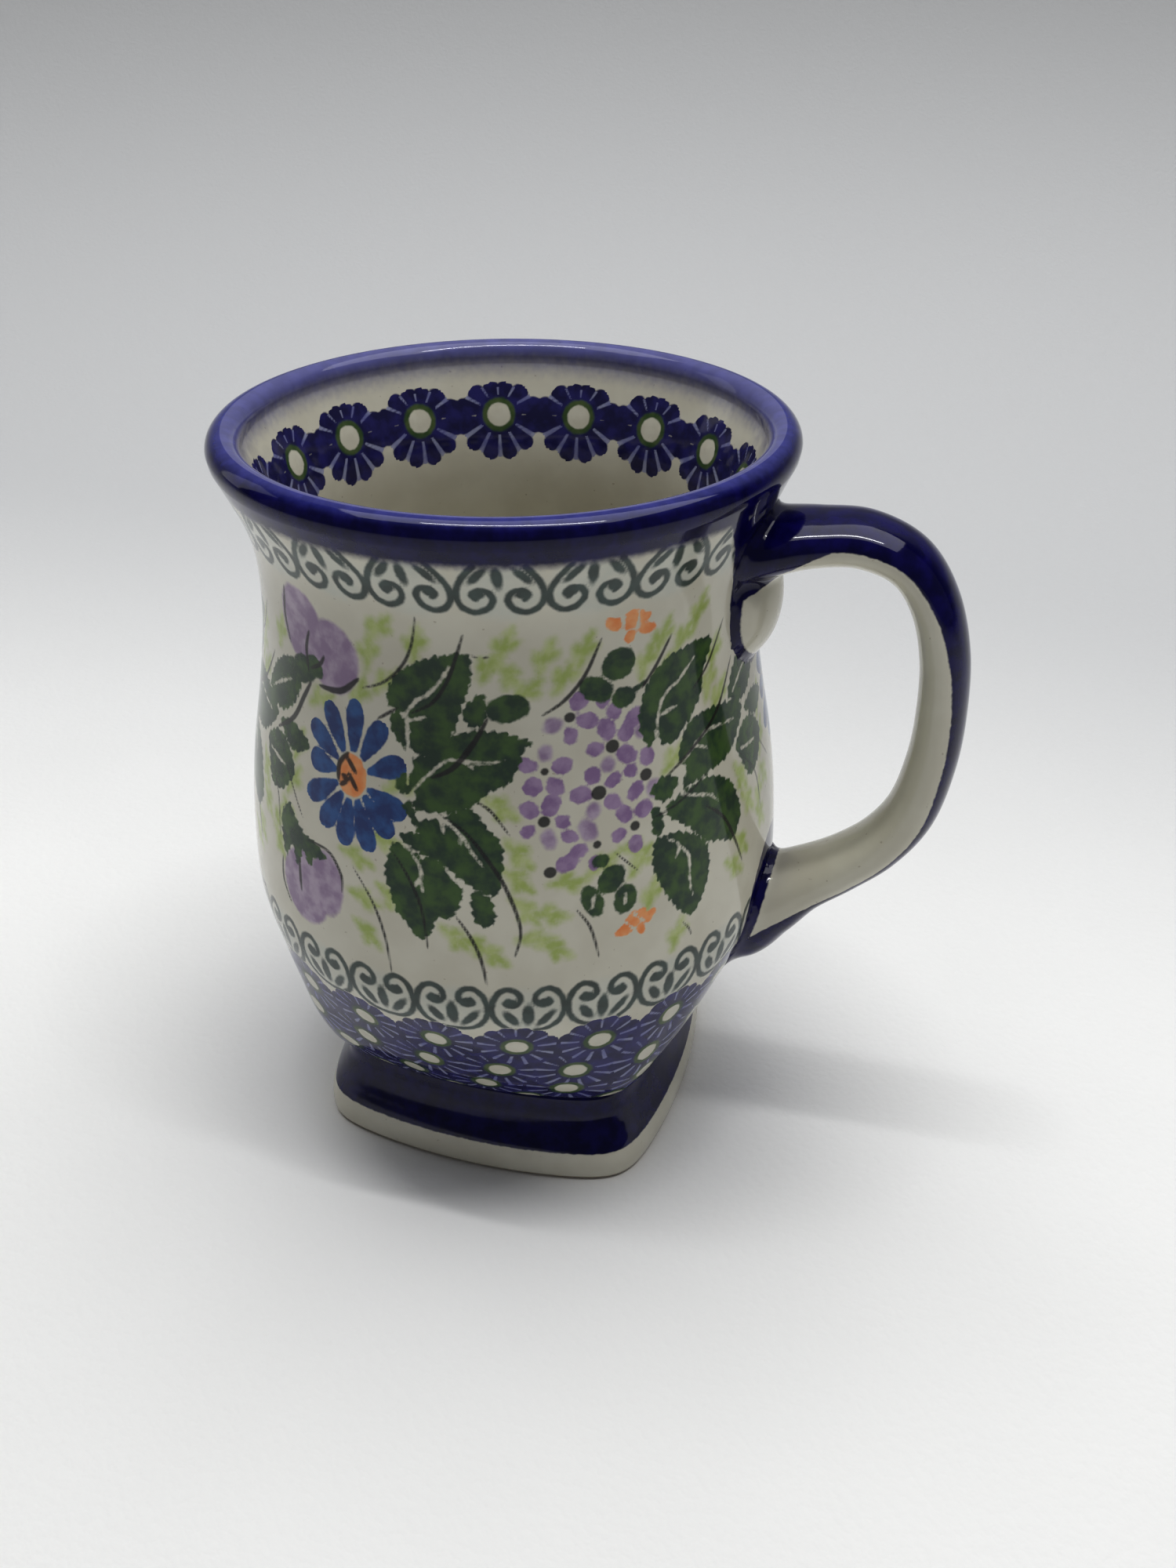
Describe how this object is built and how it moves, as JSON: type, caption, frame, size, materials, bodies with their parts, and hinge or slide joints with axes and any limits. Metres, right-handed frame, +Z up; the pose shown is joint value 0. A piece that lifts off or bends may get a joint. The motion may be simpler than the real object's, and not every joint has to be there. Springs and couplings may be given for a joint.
{
  "type": "mug",
  "caption": "Footed stoneware mug with a flared bowl, a square plinth foot and a strap handle, glazed and painted with a floral pattern.",
  "frame": {"origin": "on the axis of the bowl, at the underside of the foot", "axes": "+Z up along the axis of the bowl, +X towards the handle, the sides of the square foot parallel to X and Y"},
  "size_m": [0.1171, 0.0892, 0.125],
  "materials": {
    "bowl": "glossy cream glaze over a stamped and painted floral pattern",
    "foot": "glossy cobalt glaze above a wiped cream edge",
    "handle": "glossy cobalt glaze on the outside, cream on the inside"
  },
  "bodies": {
    "root": {"bowl": "bowl", "foot": "foot", "handle": "handle"}
  },
  "joints": []
}
